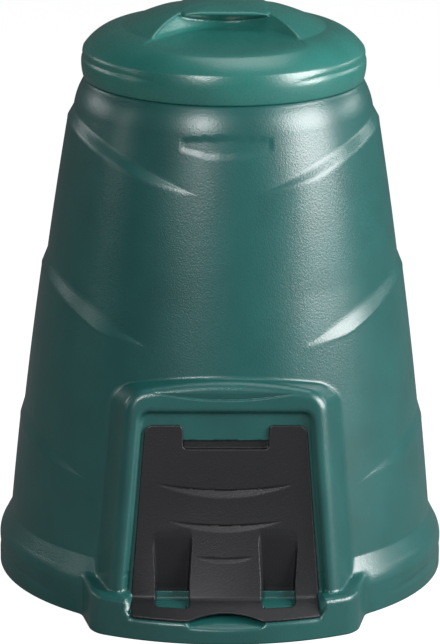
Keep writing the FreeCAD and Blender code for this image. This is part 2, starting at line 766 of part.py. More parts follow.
def lidForm(name, inset, overrun):
    # the lid's outside, or at an inset its inside: a skirt, a shoulder and a shallow dome with two finger pockets
    inset = asLength(inset)
    foot = dim.neckFootHeight + dim.seatGap - overrun
    turned = revolved(f"{name}Turned", [
        (0, foot),
        (dim.lidSkirtRadius - inset, foot, dim.lidSkirtBulge),
        (dim.lidBandRadius - inset, dim.lidBandHeight - inset / 2, dim.lidShoulderBulge),
        (dim.domeRadius - inset / 3, dim.domeEdgeHeight - inset, dim.domeBulge),
        (dim.gateRadius, dim.lidTop - inset),
        (0, dim.lidTop - inset)])
    front = pocketTool(f"{name}Front", inset, overrun)
    rear = mirroredForm(f"{name}RearPocket", front, Vector(0, 1, 0))
    pockets = joinedForms(f"{name}Pockets", [front, rear])
    # the grip overhangs both pockets
    root = dim.gripRoot - inset / 2
    edge = dim.gripEdge - inset
    grip = padded(
        f"{name}Grip", "YZ_Plane",
        [(-root, dim.gripRootHeight + inset), (root, dim.gripRootHeight + inset),
         (edge, dim.gripEdgeHeight + inset / 2), (edge, dim.lidTop + 5), (-edge, dim.lidTop + 5),
         (-edge, dim.gripEdgeHeight + inset / 2)],
        length=2 * (dim.gripHalf - inset), both=True)
    return cutForm(f"{name}Form", turned, cutForm(f"{name}Hollows", pockets, grip))


lid = cutForm("lid", lidForm("lidOuter", 0, 0), lidForm("lidInner", dim.lidWall, 10))

for node, piece in (("bin_body", binBody), ("hatch", hatch), ("lid", lid)):
    # from the bin's axis to the middle of its footprint
    piece.Label = node
    place(piece, y=(dim.toeReach - dim.rimRadius) / 2)

doc.recompute()

faults = [thing.Name for thing in doc.Objects if "Invalid" in thing.State or "Error" in thing.State]
if faults:
    raise RuntimeError(f"features that did not build: {faults}")

os.makedirs("parts", exist_ok=True)
for piece in (binBody, hatch, lid):
    node = piece.Label
    if piece.Shape.isNull() or not piece.Shape.isValid() or len(piece.Shape.Solids) != 1:
        raise RuntimeError(f"{node} is not one valid solid")
    piece.Shape.exportStep(f"parts/{node}.step")
    print(node, "volume", round(piece.Shape.Volume / 1000), "cm3")
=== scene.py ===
import bmesh
import bpy
import json
import math
import numpy as np
from mathutils import Euler, Matrix, Vector

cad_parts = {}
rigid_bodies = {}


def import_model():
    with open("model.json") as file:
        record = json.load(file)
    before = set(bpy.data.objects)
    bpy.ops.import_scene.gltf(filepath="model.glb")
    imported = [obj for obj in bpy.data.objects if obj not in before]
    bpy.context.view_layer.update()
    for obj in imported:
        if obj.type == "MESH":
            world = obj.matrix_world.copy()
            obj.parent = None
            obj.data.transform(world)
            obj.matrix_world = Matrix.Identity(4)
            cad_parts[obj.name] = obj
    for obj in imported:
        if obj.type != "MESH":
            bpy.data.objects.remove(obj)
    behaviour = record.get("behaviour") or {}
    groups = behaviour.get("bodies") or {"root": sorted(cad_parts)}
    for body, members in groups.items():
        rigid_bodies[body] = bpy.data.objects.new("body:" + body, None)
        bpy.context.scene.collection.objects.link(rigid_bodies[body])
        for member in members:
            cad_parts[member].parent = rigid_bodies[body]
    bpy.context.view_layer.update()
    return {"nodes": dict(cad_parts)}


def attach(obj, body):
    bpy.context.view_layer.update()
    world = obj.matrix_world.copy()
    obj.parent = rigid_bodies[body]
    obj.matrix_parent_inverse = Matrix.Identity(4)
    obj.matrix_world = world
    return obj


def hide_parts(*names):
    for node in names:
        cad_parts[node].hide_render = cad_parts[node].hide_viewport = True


# A garden compost bin: a tapered HDPE moulding, its lift-off lid and its drop-in hatch.
# Each piece is meshed from a rule that tells how far a point is outside the moulding, in millimetres
# about the bin's upright axis. A mesh's points lie on the surface, and every edge has a soft radius.

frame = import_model()
print("frame loaded:", ", ".join(sorted(frame["nodes"])))

axisForward = -28.0        # where the frame's origin is on y, counted from the bin's axis


def roundMax(a, b, radius):
    # where two forms both hold, with their shared edge rounded
    outer = np.hypot(np.maximum(a + radius, 0), np.maximum(b + radius, 0))
    return np.minimum(np.maximum(a, b), -radius) + outer


def roundMin(a, b, radius):
    # where either form holds, with a fillet where they meet
    return -roundMax(-a, -b, radius)


def smoothStep(t):
    t = np.clip(t, 0, 1)
    return t * t * (3 - 2 * t)


def arcPoints(start, end, bulge, count=16):
    # points from start to end on an arc that bulges to the right of the way there
    start, end = np.array(start, float), np.array(end, float)
    if not bulge:
        return [tuple(start)]
    chord = np.linalg.norm(end - start)
    along = (end - start) / chord
    aside = np.array([along[1], -along[0]])
    t = np.arange(count) / count
    sag = 4 * bulge * t * (1 - t)
    return [tuple(start + along * chord * s + aside * h) for s, h in zip(t, sag)]


def profilePoints(corners):
    # a profile from (radius, height, bulge) corners, each bulge running on to the next corner
    points = []
    for here, there in zip(corners, corners[1:]):
        points += arcPoints(here[:2], there[:2], here[2] if len(here) > 2 else 0)
    return np.array(points + [corners[-1][:2]], float)


def addMesh(name, points, faces):
    mesh = bpy.data.meshes.new(name)
    mesh.from_pydata((points * 0.001).tolist(), [], faces)
    mesh.validate()
    thing = bpy.data.objects.new(name, mesh)
    bpy.context.scene.collection.objects.link(thing)
    mesh.shade_smooth()
    return thing


def towards(rule, points, step, rounds=3, level=0.0):
    # moves points onto the rule's surface along its slope
    points = points.copy()
    for turn in range(rounds):
        here = rule(points[:, 0], points[:, 1], points[:, 2]) - level
        slope = np.empty_like(points)
        for side in range(3):
            ahead = points.copy()
            ahead[:, side] += 0.05
            behind = points.copy()
            behind[:, side] -= 0.05
            slope[:, side] = (rule(ahead[:, 0], ahead[:, 1], ahead[:, 2])
                              - rule(behind[:, 0], behind[:, 1], behind[:, 2])) / 0.1
        size = np.maximum((slope ** 2).sum(1), 0.25)
        move = -slope * (here / size)[:, None]
        far = np.linalg.norm(move, axis=1)
        move *= np.minimum(1, step / np.maximum(far, 1e-9))[:, None]
        points += move
    return points


def meshFromRule(rule, low, high, step):
    # one point in each cell that the surface crosses, and a face over each grid edge that it crosses
    sides = [np.arange(a, b + step, step) for a, b in zip(low, high)]
    grid = np.meshgrid(*sides, indexing="ij")
    value = rule(*grid)
    inside = value < 0
    size = np.array(value.shape)
    corners = np.array([(i, j, k) for i in (0, 1) for j in (0, 1) for k in (0, 1)])
    count = np.zeros(size - 1, np.int8)
    for i, j, k in corners:
        count += inside[i:size[0] - 1 + i, j:size[1] - 1 + j, k:size[2] - 1 + k]
    cells = np.argwhere((count > 0) & (count < 8))
    number = np.full(size - 1, -1, np.int64)
    number[tuple(cells.T)] = np.arange(len(cells))
    at = [tuple((cells + corner).T) for corner in corners]
    total = np.zeros((len(cells), 3))
    hits = np.zeros(len(cells))
    for first in range(8):
        for second in range(first + 1, 8):
            if np.abs(corners[first] - corners[second]).sum() != 1:
                continue
            a, b = value[at[first]], value[at[second]]
            crossed = (a < 0) != (b < 0)
            share = np.where(crossed, a / np.where(crossed, a - b, 1), 0)
            spot = corners[first] + (corners[second] - corners[first]) * share[:, None]
            total += np.where(crossed[:, None], spot, 0)
            hits += crossed
    points = (cells + total / hits[:, None]) * step + np.array([s[0] for s in sides])
    faces = []
    for side in range(3):
        other = [s for s in range(3) if s != side]
        ahead = np.zeros(3, int)
        ahead[side] = 1
        trim = [slice(0, size[s] - 1) if s == side else slice(1, size[s] - 1) for s in range(3)]
        moved = [slice(1, size[s]) if s == side else slice(1, size[s] - 1) for s in range(3)]
        now, later = inside[tuple(trim)], inside[tuple(moved)]
        for starts in (True, False):
            spots = np.argwhere((now == starts) & (later != starts))
            base = spots.copy()
            for s in other:
                base[:, s] += 1
            ring = []
            for da, db in ((0, 0), (1, 0), (1, 1), (0, 1)):
                cell = base.copy()
                cell[:, other[0]] -= da
                cell[:, other[1]] -= db
                ring.append(number[tuple(cell.T)])
            ring = np.stack(ring, 1)
            outwards = starts if side != 1 else not starts
            faces.append(ring if outwards else ring[:, ::-1])
    faces = np.vstack(faces)
    return towards(rule, points, step * 0.6), faces


# what the pieces share, in the solids' sizes: the cone, the leaning panel and the hatch's flange
cone = {"footRadius": 331.5, "footHeight": 89, "bulge": 6.4, "topRadius": 231.5, "topHeight": 738}
panel = {"distance": 348.5, "lean": math.radians(7.4)}
flange = {"inner": 362, "outer": 403.5, "innerHeight": 58.5, "outerHeight": 36.0, "hump": 3.4}


def uprightOf(x, y, z):
    # from the bin's axis to the leaning panel: how far in front of its face, and how far up it
    ahead = y + panel["distance"]
    back = ahead * math.cos(panel["lean"]) - z * math.sin(panel["lean"])
    up = ahead * math.sin(panel["lean"]) + z * math.cos(panel["lean"])
    return -back, up


def leaningOf(x, front, up):
    # back from the leaning panel to the bin's axis
    back = -front
    y = back * math.cos(panel["lean"]) + up * math.sin(panel["lean"]) - panel["distance"]
    z = -back * math.sin(panel["lean"]) + up * math.cos(panel["lean"])
    return x, y, z


def coneRadius(height):
    # a straight taper with a slight barrel
    share = (height - cone["footHeight"]) / (cone["topHeight"] - cone["footHeight"])
    straight = cone["footRadius"] + (cone["topRadius"] - cone["footRadius"]) * share
    return straight + 4 * cone["bulge"] * share * (1 - share)


def flangeLine(radius, drop=0.0):
    # the height of the hatch's humped flange over the toe, at a distance from the axis
    reach = flange["outer"] - flange["inner"]
    slope = (flange["innerHeight"] - flange["outerHeight"]) / reach
    past = np.clip(radius, flange["inner"], None) - flange["inner"]
    hump = flange["hump"] * (1 - ((past - reach / 2) / (reach / 2)) ** 2)
    return flange["innerHeight"] - slope * past + np.maximum(hump, -6) - drop


def crescent(x, up, sizes, crispFoot=False):
    # a scooped smile between two arcs: crisp at the upper arc or at the lower one, and run out at the other
    half, tips, upper, lower, depth = sizes

    def insideArc(low):
        radius = (half * half + (tips - low) ** 2) / (2 * (tips - low))
        return radius - np.hypot(x, up - (low + radius))

    aboveFoot = insideArc(lower)
    belowTop = -insideArc(upper)
    ramp, crisp = (belowTop, aboveFoot) if crispFoot else (aboveFoot, belowTop)
    scoop = np.clip(ramp / (upper - lower), 0, 1) * smoothStep((crisp + 0.3) / 1.2)
    return depth * scoop * (np.abs(x) < half * 1.05) * (up < tips + 6)


# the bin's body, in millimetres
bodySizes = {
    # radius, height and bulge of the turned outline's corners, from the ground to the neck
    "rim": [(350, -60), (350, 46, 1.4), (343, 67), (331.5, 89, 6.4), (231.5, 738, 2.2), (216.5, 779),
            (214.8, 783), (206, 783.2), (206, 830)],
    # for each ledge: height at the side, facet spread and shift, how much faster than the cone the facet
    # spreads, how far its tier stands off, angles from the front where that starts and is complete, and the
    # height where the tier has faded
    "ledges": [(736.4, 0.444, 24.7, 0.36, 6.4, 9, 36, 500),
               (507, 0.335, 23.9, 0.24, 5.6, 22, 44, 255),
               (262, 0.278, 23.7, 0.17, 4.2, 40, 62, 93)],
    "ledgeLip": (0.5, 2.6),
    "wall": 3.5,
    "neckTop": 818,
    "grooveHeight": 22,
    "grooveDepth": 2.2,
    # the surround's block: half width and height at its foot and at its top, and its rise in the middle
    "blockHalf": (173, 45, 149, 366),
    "blockCrown": 18,
    "blockDraft": math.radians(18),
    "blockTopDraft": 0.105,
    "blockCorner": 26,
    "blockEdge": 14,
    "proud": 12,
    "recessHalf": (148.5, 62.5, 125.5, 334.5),
    "recessDraft": math.radians(25),
    "recessCorner": 12,
    "toeReach": 406,
    "toeHeight": 61.5,
    "toeHalf": 202,
    "toeCorner": 15,
    "toeEdge": 9,
    "toeFall": 0.06,
    "seatHalf": 146,
    "notchHalf": 58,
    "notchFloor": 22.5,
    "doorHalf": (128, 62.5, 107, 294),
    "doorCorner": 10,
    "plaqueHalf": 68,
    "plaqueTop": 738.5,
    "plaqueFoot": 709,
    "plaqueDepth": 1.5,
    "sillSteps": {"count": 3, "step": (0, -5.5, -1.5), "size": (56, 2.4, 2.4), "first": (80, -350, 50.6)},
    # half width, height of the tips, of the upper and of the lower arc, and depth
    "crest": (118, 369, 367, 356, 4.4),
    # degrees from the front: from, to, and step of the columns there
    "columns": [(0, 7.4, 0.8), (7.4, 9.6, 0.35), (9.6, 20.4, 0.9), (20.4, 29, 0.33), (29, 38, 0.6),
                (38, 95, 1.1), (95, 180, 2.6)],
    # rows up to each mark: rim, then each ledge's crest and its upper line in turn, shoulder, neck; first of
    # the outside, then of the inside
    "rows": (60, 22, 4, 104, 4, 42, 5, 32, 8),
    "insideRows": (7, 2, 1, 36, 1, 6, 1, 3, 2),
    # for each ledge from the lowest up: its number, the angle from the front where its rows start to follow it,
    # and their height before that
    "followed": [(2, 24, 113), (1, 16, 404), (0, -30, 0)],
}

rimLine = profilePoints(bodySizes["rim"])
rimOrder = np.argsort(rimLine[:, 1], kind="stable")
rimHeights, rimRadii = rimLine[rimOrder, 1], rimLine[rimOrder, 0]
rimSlopes = np.gradient(rimRadii, rimHeights + np.arange(len(rimHeights)) * 1e-6)


def turnedBin(r, z):
    slope = np.clip(np.interp(z, rimHeights, rimSlopes), -0.7, 0.7)
    return (r - np.interp(z, rimHeights, rimRadii)) / np.sqrt(1 + slope * slope)


def ledgeUpper(ledge):
    # the height where a ledge's facet leaves the cone, for each degree from the front
    side, spread, shift = ledge[:3]
    height = np.arange(100, 800, 0.5)
    found = []
    for degrees in range(0, 91):
        turn = math.radians(degrees)
        size = coneRadius(side) - shift - spread * (height - side)
        facet = shift * math.sin(turn) + np.sqrt(size ** 2 - (shift * math.cos(turn)) ** 2)
        found.append(height[np.argmax(facet < coneRadius(height))])
    return np.convolve(np.pad(found, 4, "edge"), np.ones(9) / 9, "valid")


ledgeUppers = [ledgeUpper(ledge) for ledge in bodySizes["ledges"]]


def ledgeShape(x, y, z, number):
    # how far a ledge's facet and the tier below it stand off the cone
    slope, stand, start, full, fade = bodySizes["ledges"][number][3:]
    degrees = np.degrees(np.arctan2(np.abs(x), np.abs(y)))
    upper = np.interp(degrees, np.arange(0, 91), ledgeUppers[number])
    share = smoothStep((degrees - start) / (full - start))
    facet = (upper - z) * slope
    tier = stand * share * np.clip((z - fade) / (upper - fade), 0, 1)
    lip, width = bodySizes["ledgeLip"]
    tier = tier + lip * share * np.exp(-((facet - tier) / slope / width - 0.6) ** 2)
    return facet, tier, upper


def ledges(x, y, z):
    total = 0
    for number in range(3):
        facet, tier, upper = ledgeShape(x, y, z, number)
        total = total + np.clip(np.minimum(facet, tier), 0, None)
    return total


def sideLine(x, up, half):
    # how far outside a leaning side line: half width at its foot and at its top
    slope = (half[2] - half[0]) / (half[3] - half[1])
    return (np.abs(x) - half[0] - slope * (up - half[1])) / math.sqrt(1 + slope * slope)


def surround(x, front, up):
    # the raised block round the hatch, with drafted walls and a crown, less the flat recess for the hatch
    half, draft = bodySizes["blockHalf"], bodySizes["blockDraft"]
    depth = bodySizes["proud"] - front
    crown = bodySizes["blockCrown"] * (1 - np.clip(np.abs(x) / half[2], 0, 1.2) ** 2)
    side = (sideLine(x, up, half) - depth * math.tan(draft)) * math.cos(draft)
    top = up - half[3] - crown - depth * bodySizes["blockTopDraft"]
    face = -depth + crescent(x, up, bodySizes["crest"], crispFoot=True)
    block = roundMax(roundMax(side, top, bodySizes["blockCorner"]), face, bodySizes["blockEdge"])
    half, draft = bodySizes["recessHalf"], bodySizes["recessDraft"]
    side = (sideLine(x, up, half) - front * math.tan(draft)) * math.cos(draft)
    over = (up - half[3] - front * math.tan(draft)) * math.cos(draft)
    recess = roundMax(roundMax(side, over, bodySizes["recessCorner"]), -front, 3)
    return roundMax(block, -recess, 4)


def toeBlock(x, y, z, r):
    # the toe before the rim: sides that draw in to the front, and a top that falls a little outwards
    side = (np.abs(x) - bodySizes["toeHalf"]) * 0.979 - (y + 347) * 0.204
    plan = roundMax(r - bodySizes["toeReach"], side, bodySizes["toeCorner"])
    inwards = bodySizes["toeReach"] - bodySizes["toeEdge"] - r
    top = z - bodySizes["toeHeight"] - inwards * bodySizes["toeFall"]
    return roundMax(plan, top, bodySizes["toeEdge"])


def plaque(x, z):
    # the bare place for a badge on the upper front: level top, sides that fall in, round foot
    half = bodySizes["plaqueHalf"]
    top = z - bodySizes["plaqueTop"] + (x / half) ** 2 * 3.5
    foot = bodySizes["plaqueFoot"] + (x / (half - 2)) ** 2 * 8 - z
    return roundMax(roundMax(np.abs(x) - half, top, 3), foot, 3)


def flangeSeat(x, front, z, r):
    # the hollow in the toe's top that takes the hatch's flange
    drop = 5 + 3 * np.clip((flange["outer"] - r) / (flange["outer"] - flange["inner"]), 0, 1)
    seat = roundMax(np.abs(x) - bodySizes["seatHalf"], (flangeLine(r, drop) - z) * 0.88, 3)
    return np.maximum(np.maximum(seat, -front), z - 90)


def fingerNotch(x, y, z, front):
    # the notch in the toe's edge, where fingers reach below the hatch's arch
    floor = bodySizes["notchFloor"] + 0.5 * (y + bodySizes["toeReach"])
    notch = roundMax((floor - z) * 0.894, np.abs(x) - bodySizes["notchHalf"], 5)
    return np.maximum(np.maximum(notch, -front - 1), z - 44)


def bodyRule(x, y, z):
    r = np.hypot(x, y)
    front, up = uprightOf(x, y, z)
    form = turnedBin(r - ledges(x, y, z), z)
    form = form + bodySizes["plaqueDepth"] * smoothStep(-plaque(x, z) / 2.5) * (y < 0)
    # the long faint groove low on the base rim, at the sides
    groove = (z - bodySizes["grooveHeight"] - 8 * np.cos(np.arctan2(y, x) * 2)) / 5
    aside = smoothStep((np.abs(x) / np.maximum(r, 1) - 0.7) / 0.2)
    form = form + bodySizes["grooveDepth"] * np.exp(-groove ** 2) * aside
    hatchSide = roundMin(form, np.maximum(surround(x, front, up), 30 - up), 4)
    hatchSide = roundMin(hatchSide, toeBlock(x, y, z, r), 5)
    hatchSide = roundMax(hatchSide, -flangeSeat(x, front, z, r), 2.5)
    hatchSide = roundMax(hatchSide, -fingerNotch(x, y, z, front), 3)
    return np.where(y < -150, hatchSide, form)


def ledgeMarks(angles):
    # for each column, the heights of each ledge's crest and upper line, off the surround at the front
    degrees = np.degrees(np.abs(angles))
    degrees = np.where(degrees > 90, 180 - degrees, degrees)
    front = np.abs(angles) < math.pi / 2
    height = np.arange(100, 800, 0.5)
    marks = []
    for number, start, low in bodySizes["followed"]:
        x, z = np.meshgrid(np.sin(np.radians(degrees)), height, indexing="ij")
        y = np.broadcast_to(np.cos(np.radians(degrees))[:, None], x.shape)
        facet, tier, upper = ledgeShape(x, y, z, number)
        crest = np.minimum(height[np.argmax(facet < tier, axis=1)], upper[:, 0] - 2.5)
        blend = np.where(front, smoothStep((degrees - start) / 14), 1)
        last = marks[-1] + 30 if marks else 109
        crest = np.maximum(low + (crest - low) * blend, last)
        marks.append(crest)
        marks.append(np.maximum(low + (upper[:, 0] - low) * blend, crest + 2.5))
    return marks


def columnAngle(angle, height):
    # near the front the columns lean together, as the surround's sides do
    near = 1 - smoothStep((np.degrees(np.abs(angle)) - 32) / 45)
    return angle * (1 - 1.74e-4 * near * (np.clip(height, 50, 390) - 200))


def tracedSections(rule, angles, rows, level=0.0):
    # each upright section's outline, with its points spread evenly along it between the marks
    neckTop = bodySizes["neckTop"]
    crestMiddle = 367
    heights = np.unique(np.concatenate([np.arange(0, 70, 1.0), np.arange(70, neckTop + 1, 2.0)]))
    angle, height = np.meshgrid(angles, heights, indexing="ij")
    angle = columnAngle(angle, height)
    inner = np.full(angle.shape, 150.0)
    outer = np.full(angle.shape, 430.0)
    for turn in range(22):
        middle = (inner + outer) / 2
        value = rule(middle * np.sin(angle), -middle * np.cos(angle), height) - level
        inner = np.where(value < 0, middle, inner)
        outer = np.where(value < 0, outer, middle)
    radius = (inner + outer) / 2
    marks = ledgeMarks(angles)
    points = []
    for column in range(len(angles)):
        line = np.stack([radius[column], heights], 1)
        # rows lie closer together at the crescent on the surround's top edge
        front = 1 - smoothStep((abs(math.degrees(angles[column])) - 25) / 10)
        closer = 1 + 3 * front * np.exp(-((heights[1:] - crestMiddle) / 15) ** 2)
        strides = np.linalg.norm(np.diff(line, axis=0), axis=1) * closer
        length = np.concatenate([[0], np.cumsum(strides)])
        between = [mark[column] for mark in marks]
        stops = np.interp([0, 108, *between, 782.6, neckTop], heights, length)
        spots = [np.linspace(a, b, n, endpoint=False) for a, b, n in zip(stops, stops[1:], rows)]
        spots = np.concatenate(spots + [stops[-1:]])
        points.append(np.stack([np.interp(spots, length, side) for side in line.T], 1))
    points = np.array(points)
    turn = columnAngle(np.broadcast_to(angles[:, None], points.shape[:2]), points[..., 1])
    return np.stack([points[..., 0] * np.sin(turn), -points[..., 0] * np.cos(turn), points[..., 1]], -1)


def bodyColumns():
    # columns round the bin, closest together at the side walls of the recess, the surround and the toe
    spans = [np.arange(start, end - step / 2, step) for start, end, step in bodySizes["columns"]]
    right = np.concatenate(spans)
    return np.radians(np.concatenate([-right[:0:-1], right, [180]]))


def buildBody():
    # the outside and the inside wall, column by column, joined at the ground and at the neck
    angles = bodyColumns()[::1]
    skin = tracedSections(bodyRule, angles, bodySizes["rows"])
    skin = towards(bodyRule, skin.reshape(-1, 3), 1.5, 2).reshape(skin.shape)
    skin[:, 0, 2] = 0
    skin[:, -1, 2] = bodySizes["neckTop"]
    inside = tracedSections(bodyRule, angles, bodySizes["insideRows"], level=-bodySizes["wall"])
    columns, tall, low = len(angles), skin.shape[1], inside.shape[1]
    points = np.concatenate([skin.reshape(-1, 3), inside.reshape(-1, 3)])
    faces = []
    for column in range(columns):
        following = (column + 1) % columns
        a, b = column * tall, following * tall
        c, d = columns * tall + column * low, columns * tall + following * low
        for k in range(tall - 1):
            faces.append((a + k, b + k, b + k + 1, a + k + 1))
        for k in range(low - 1):
            faces.append((c + k, c + k + 1, d + k + 1, d + k))
        faces.append((a + tall - 1, b + tall - 1, d + low - 1, c + low - 1))
        faces.append((a, c, d, b))
    points[:, 1] -= axisForward
    return addMesh("binMoulding", points, faces)


def trapezium(half, corner, count=6):
    # the outline of a doorway with rounded upper corners, in panel places
    rim = []
    wide, foot, narrow, top = half
    for side in (1, -1):
        arc = [(side * (narrow - corner + corner * math.sin(t)), top - corner + corner * math.cos(t))
               for t in np.linspace(0, math.pi / 2, count)]
        rim += [(side * wide, foot)] + arc[::-1] if side > 0 else arc + [(side * wide, foot)]
    return rim


def prismCutter(name, rim, near, far):
    # a tool with this outline that goes through the leaning panel
    points = [leaningOf(x, front, up) for front in (near, far) for x, up in rim]
    points = np.array(points)
    points[:, 1] -= axisForward
    n = len(rim)
    faces = [tuple(range(n))[::-1], tuple(range(n, 2 * n))]
    faces += [(k, (k + 1) % n, n + (k + 1) % n, n + k) for k in range(n)]
    return addMesh(name, points, faces)


def cutWith(thing, cutter):
    cut = thing.modifiers.new("cut", "BOOLEAN")
    cut.object = cutter
    cut.operation = "DIFFERENCE"
    cut.solver = "EXACT"
    result = bpy.data.meshes.new_from_object(thing.evaluated_get(bpy.context.evaluated_depsgraph_get()))
    thing.modifiers.clear()
    thing.data = result
    bpy.data.objects.remove(cutter)


def ribTree():
    # Geometry Nodes: a row of small steps down the sill, as many and as far apart as asked
    tree = bpy.data.node_groups.new("sillSteps", "GeometryNodeTree")
    inputs = {}
    for name, kind, value in (("Count", "NodeSocketInt", 3), ("Step", "NodeSocketVector", (0, -5, -1)),
                              ("Size", "NodeSocketVector", (50, 2, 2))):
        socket = tree.interface.new_socket(name, in_out="INPUT", socket_type=kind)
        socket.default_value = value
        inputs[name] = socket.identifier
    tree.interface.new_socket("Geometry", in_out="OUTPUT", socket_type="NodeSocketGeometry")
    given = tree.nodes.new("NodeGroupInput")
    line = tree.nodes.new("GeometryNodeMeshLine")
    step = tree.nodes.new("GeometryNodeMeshCube")
    spread = tree.nodes.new("GeometryNodeInstanceOnPoints")
    real = tree.nodes.new("GeometryNodeRealizeInstances")
    result = tree.nodes.new("NodeGroupOutput")
    tree.links.new(given.outputs["Count"], line.inputs["Count"])
    tree.links.new(given.outputs["Step"], line.inputs["Offset"])
    tree.links.new(given.outputs["Size"], step.inputs["Size"])
    tree.links.new(line.outputs["Mesh"], spread.inputs["Points"])
    tree.links.new(step.outputs["Mesh"], spread.inputs["Instance"])
    tree.links.new(spread.outputs["Instances"], real.inputs["Geometry"])
    tree.links.new(real.outputs["Geometry"], result.inputs["Geometry"])
    return tree, inputs


def addSillSteps(thing):
    # the low steps moulded across the sill, which show through the hatch's two windows
    sizes = bodySizes["sillSteps"]
    tree, inputs = ribTree()
    carrier = addMesh("sillSteps", np.zeros((1, 3)), [])
    steps = carrier.modifiers.new("steps", "NODES")
    steps.node_group = tree
    steps[inputs["Count"]] = sizes["count"]
    steps[inputs["Step"]] = [v * 0.001 for v in sizes["step"]]
    steps[inputs["Size"]] = [v * 0.001 for v in sizes["size"]]
    made = bpy.data.meshes.new_from_object(carrier.evaluated_get(bpy.context.evaluated_depsgraph_get()))
    bpy.data.objects.remove(carrier)
    whole = bmesh.new()
    whole.from_mesh(thing.data)
    for side in (-1, 1):
        x, y, z = sizes["first"]
        made.transform(Matrix.Translation((side * x * 0.001, (y - axisForward) * 0.001, z * 0.001)))
        whole.from_mesh(made)
        made.transform(Matrix.Translation((-side * x * 0.001, -(y - axisForward) * 0.001, -z * 0.001)))
    whole.to_mesh(thing.data)
    whole.free()


body = buildBody()
doorway = trapezium(bodySizes["doorHalf"], bodySizes["doorCorner"])
cutWith(body, prismCutter("doorwayCutter", doorway, -14, 60))
addSillSteps(body)
print("bin body:", len(body.data.polygons), "faces")


# the lid, in millimetres
lidSizes = {
    # radius, height and bulge of the turned outline's corners, from below the skirt to the dome's middle
    "profile": [(216.5, 760), (216.5, 783.3, 3.4), (217, 829, 8), (157, 862.5, 9.5), (9, 899.6),
                (0, 899.6)],
    "foot": 783.3,
    "wall": 3.2,
    # the finger pockets: their floor's height and fall, and their back wall's foot, lean and spread
    "floor": 868,
    "floorFall": math.tan(math.radians(4)),
    "wallFoot": 31,
    "wallLean": 0.75,
    "wallSpread": (0.0226, 1.73),
    "gripEdge": 57,
    "gripHalf": 66,
    "gripTop": 899.2,
    "gripUnderside": (889.5, 0.484),
    "grooveHeight": 818,
    "grooveDepth": 1.6,
    "step": 2.5,
    "hollowStep": 5,
}


def lidTable():
    # how far a place is outside the turned profile, on a fine grid of distances from the axis and heights
    line = profilePoints(lidSizes["profile"])
    radii = np.arange(0, 236, 1.0)
    heights = np.arange(765, 912, 1.0)
    r, z = np.meshgrid(radii, heights, indexing="ij")
    near = np.full(r.shape, 1e9)
    for a, b in zip(line, line[1:]):
        along = b - a
        t = np.clip(((r - a[0]) * along[0] + (z - a[1]) * along[1]) / (along @ along), 0, 1)
        near = np.minimum(near, np.hypot(r - a[0] - along[0] * t, z - a[1] - along[1] * t))
    edge = np.interp(z, line[:-1, 1], line[:-1, 0], right=0)
    inside = (r < edge) & (z < line[-1, 1])
    return np.where(inside, -near, near)


lidDistances = lidTable()


def turnedLid(r, z):
    # the table's value at a place, read between its four nearest entries
    a = np.clip(r, 0, 234.9)
    b = np.clip(z - 765, 0, 145.9)
    i, j = a.astype(int), b.astype(int)
    s, t = a - i, b - j
    low = lidDistances[i, j] * (1 - s) + lidDistances[i + 1, j] * s
    high = lidDistances[i, j + 1] * (1 - s) + lidDistances[i + 1, j + 1] * s
    return low * (1 - t) + high * t


def lidOutside(x, y, z):
    r = np.hypot(x, y)
    across, back = np.abs(x), np.abs(y)    # the two finger pockets mirror each other
    dome = turnedLid(r, z)
    floor = lidSizes["floor"] - back * lidSizes["floorFall"]
    factor, power = lidSizes["wallSpread"]
    wallFoot = lidSizes["wallFoot"] + factor * across ** power
    spread = power * factor * np.maximum(across, 1) ** (power - 1)
    wall = (wallFoot - lidSizes["wallLean"] * (z - floor) - back) / np.sqrt(1 + 0.56 + spread ** 2)
    pocket = roundMax(floor - z, wall, 5)
    form = roundMax(dome, -pocket, 3.5)
    height, rise = lidSizes["gripUnderside"]
    under = (height - rise * (lidSizes["gripEdge"] - back) - z) * 0.9
    bevel = z - lidSizes["gripTop"] + np.maximum(back - 24, 0) * 0.17
    grip = roundMax(roundMax(under, back - lidSizes["gripEdge"], 1.6), np.maximum(dome, bevel), 2.5)
    grip = roundMax(grip, across - lidSizes["gripHalf"], 4)
    grip = np.maximum(grip, lidSizes["floor"] - 2 - z)
    form = roundMin(form, grip, 2)
    # the long faint groove round the sides of the skirt, which fades towards the front and back
    side = smoothStep((across / np.maximum(r, 1) - 0.42) / 0.3)
    groove = (z - lidSizes["grooveHeight"] + 4 * (1 - side)) / 3.2
    return form + lidSizes["grooveDepth"] * np.exp(-groove ** 2) * side * (r > 150)


def lidSkin(x, y, z):
    return roundMax(lidOutside(x, y, z), lidSizes["foot"] - z, 1.2)


def lidHollow(x, y, z):
    return np.maximum(lidOutside(x, y, z) + lidSizes["wall"], lidSizes["foot"] - 6 - z)


def buildLid():
    step = lidSizes["step"]
    points, faces = meshFromRule(lidSkin, (-223, -223, 780), (223, 223, 903), step)
    points[:, 2] = np.maximum(points[:, 2], lidSizes["foot"])
    points[:, 1] -= axisForward
    skin = addMesh("lidMoulding", points, faces.tolist())
    points, faces = meshFromRule(lidHollow, (-221, -221, 773), (221, 221, 900), lidSizes["hollowStep"])
    points[:, 1] -= axisForward
    cutWith(skin, addMesh("lidHollow", points, faces.tolist()))
    return skin


lid = buildLid()
print("lid:", len(lid.data.polygons), "faces")


